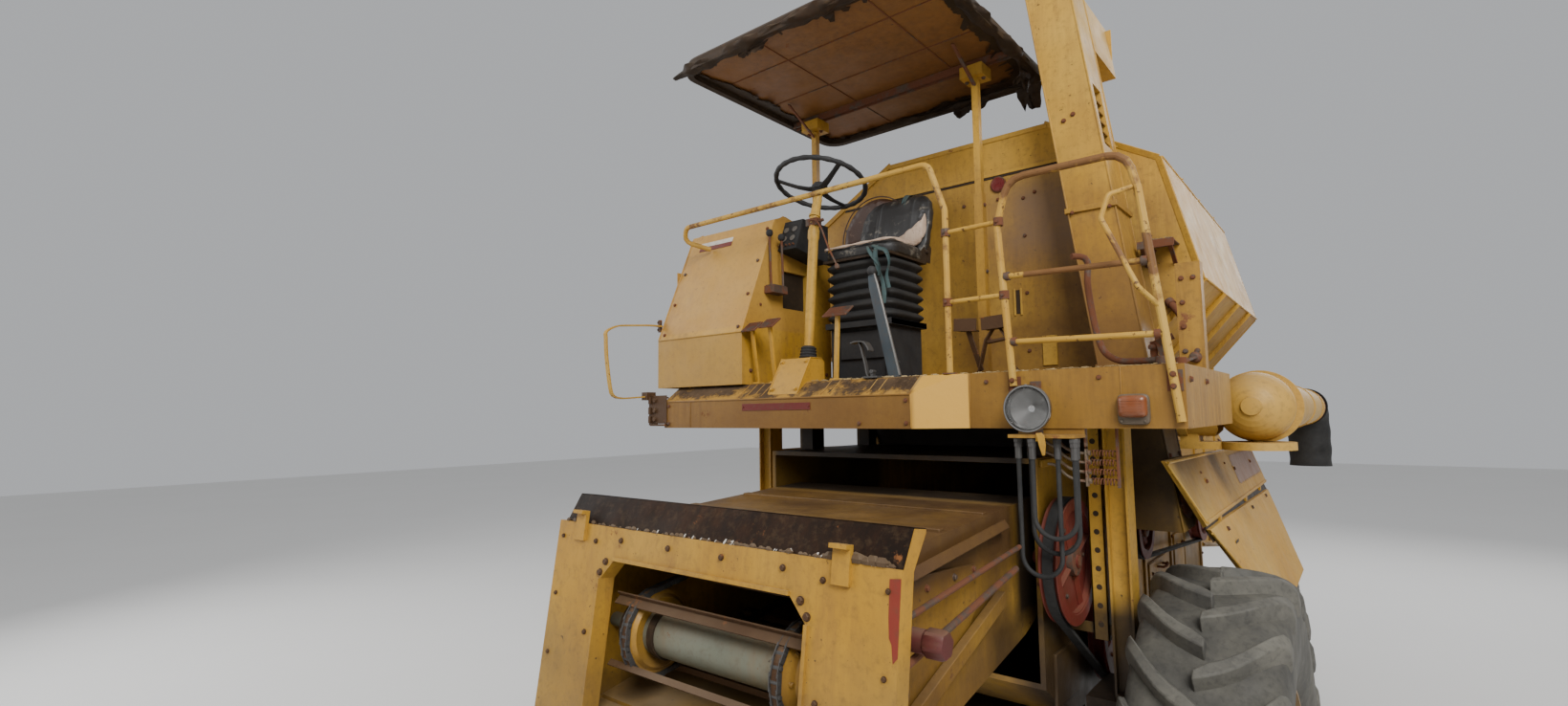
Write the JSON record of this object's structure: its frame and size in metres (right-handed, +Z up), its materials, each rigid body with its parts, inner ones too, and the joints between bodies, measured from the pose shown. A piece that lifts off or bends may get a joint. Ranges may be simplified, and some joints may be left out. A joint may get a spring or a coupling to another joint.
{
  "type": "combine harvester",
  "caption": "Self-propelled combine harvester with open driver's platform, sun canopy, grain tank, raised feeder house and swinging unloading auger; no header fitted.",
  "frame": {"origin": "on the ground under the middle of the whole machine", "axes": "+Z up, front of the machine towards -Y, its left side towards +X"},
  "size_m": [2.8382, 6.2972, 4.1798],
  "materials": {
    "yellow_paint": "faded, chipped and dusty",
    "dark_paint": "sooty and rusty",
    "red_paint": "faded",
    "canopy_sheet": "sun-browned paint",
    "bare_steel": "worn",
    "engine_grey": "oily",
    "black_plastic": "worn",
    "black_rubber": "dusty",
    "seat_leather": "cracked",
    "lamp_glass": "amber and clear lenses",
    "tyre": "dusty grey"
  },
  "bodies": {
    "chassis": {"frame": "yellow_paint", "front_axle": "dark_paint", "body": "yellow_paint", "straw_hood": "yellow_paint", "sieve_box": "yellow_paint", "grain_tank": "yellow_paint", "grain_elevator": "yellow_paint", "engine": "engine_grey", "engine_hood": "yellow_paint", "platform": "yellow_paint", "console": "yellow_paint", "steering_column": "yellow_paint", "controls": "dark_paint", "seat_base": "dark_paint", "seat_bellows": "black_rubber", "seat_cushion": "seat_leather", "canopy_posts": "yellow_paint", "canopy": "canopy_sheet", "guard_rails": "yellow_paint", "hoses": "black_rubber", "lamps": "lamp_glass", "shield_left": "yellow_paint", "shield_right": "yellow_paint", "drive_pulleys": "red_paint", "drive_belts": "black_rubber", "unload_elbow": "yellow_paint", "rear_axle": "dark_paint"},
    "front_wheel_left": {"front_rim_left": "yellow_paint", "front_tyre_left": "tyre"},
    "front_wheel_right": {"front_rim_right": "yellow_paint", "front_tyre_right": "tyre"},
    "steer_left": {"knuckle_left": "dark_paint"},
    "steer_right": {"knuckle_right": "dark_paint"},
    "rear_wheel_left": {"rear_rim_left": "yellow_paint", "rear_tyre_left": "tyre"},
    "rear_wheel_right": {"rear_rim_right": "yellow_paint", "rear_tyre_right": "tyre"},
    "track_rod": {"tie_rod": "bare_steel"},
    "feeder": {"feeder_house": "yellow_paint", "feeder_frame": "yellow_paint", "feeder_drum": "bare_steel", "feeder_chain": "bare_steel"},
    "barrels": {"lift_barrels": "dark_paint"},
    "rods": {"lift_rods": "bare_steel"},
    "unloader": {"unload_tube": "yellow_paint", "unload_spout": "black_rubber"},
    "hand_wheel": {"steering_wheel": "black_plastic"}
  },
  "joints": [
    {"name": "front_wheel_left_roll", "type": "hinge", "parent": "chassis", "child": "front_wheel_left", "pos_m": [1.19, -1.56643, 0.78], "axis": [1, 0, 0], "continuous": true},
    {"name": "front_wheel_right_roll", "type": "hinge", "parent": "chassis", "child": "front_wheel_right", "pos_m": [-1.19, -1.56643, 0.78], "axis": [1, 0, 0], "continuous": true},
    {"name": "steer", "type": "hinge", "parent": "chassis", "child": "steer_left", "pos_m": [0.79, 1.93357, 0.48], "axis": [0, 0, 1], "range_deg": [-30, 30]},
    {"name": "steer_follow", "type": "hinge", "parent": "chassis", "child": "steer_right", "pos_m": [-0.79, 1.93357, 0.48], "axis": [0, 0, 1], "range_deg": [-30.5, 30.5]},
    {"name": "track_rod_slide", "type": "slide", "parent": "chassis", "child": "track_rod", "axis": [1, 0, 0], "range_m": [-0.085, 0.085]},
    {"name": "rear_wheel_left_roll", "type": "hinge", "parent": "steer_left", "child": "rear_wheel_left", "pos_m": [1.01, 1.93357, 0.48], "axis": [1, 0, 0], "continuous": true},
    {"name": "rear_wheel_right_roll", "type": "hinge", "parent": "steer_right", "child": "rear_wheel_right", "pos_m": [-1.01, 1.93357, 0.48], "axis": [1, 0, 0], "continuous": true},
    {"name": "feeder_lift", "type": "hinge", "parent": "chassis", "child": "feeder", "pos_m": [0, -1.76643, 1.57], "axis": [1, 0, 0], "range_deg": [-4, 28]},
    {"name": "barrel_swing", "type": "hinge", "parent": "chassis", "child": "barrels", "pos_m": [0, -1.60643, 0.56], "axis": [1, 0, 0], "range_deg": [-2, 10]},
    {"name": "rod_slide", "type": "slide", "parent": "barrels", "child": "rods", "axis": [0, -0.8433, 0.5375], "range_m": [-0.41, 0.08]},
    {"name": "unload_swing", "type": "hinge", "parent": "chassis", "child": "unloader", "pos_m": [1.24, -0.63643, 2.15], "axis": [0, 0, 1], "range_deg": [-100, 0]},
    {"name": "hand_wheel_turn", "type": "hinge", "parent": "chassis", "child": "hand_wheel", "pos_m": [-0.4, -1.80643, 3.29], "axis": [0, 0.2924, 0.9563], "continuous": true}
  ],
  "couplings": [
    {"joint": "steer_follow", "follows": "steer", "ratio": 1},
    {"joint": "track_rod_slide", "follows": "steer", "m_per_rad": -0.15},
    {"joint": "barrel_swing", "follows": "feeder_lift", "ratio": 0.2984},
    {"joint": "rod_slide", "follows": "feeder_lift", "m_per_rad": -0.817}
  ]
}
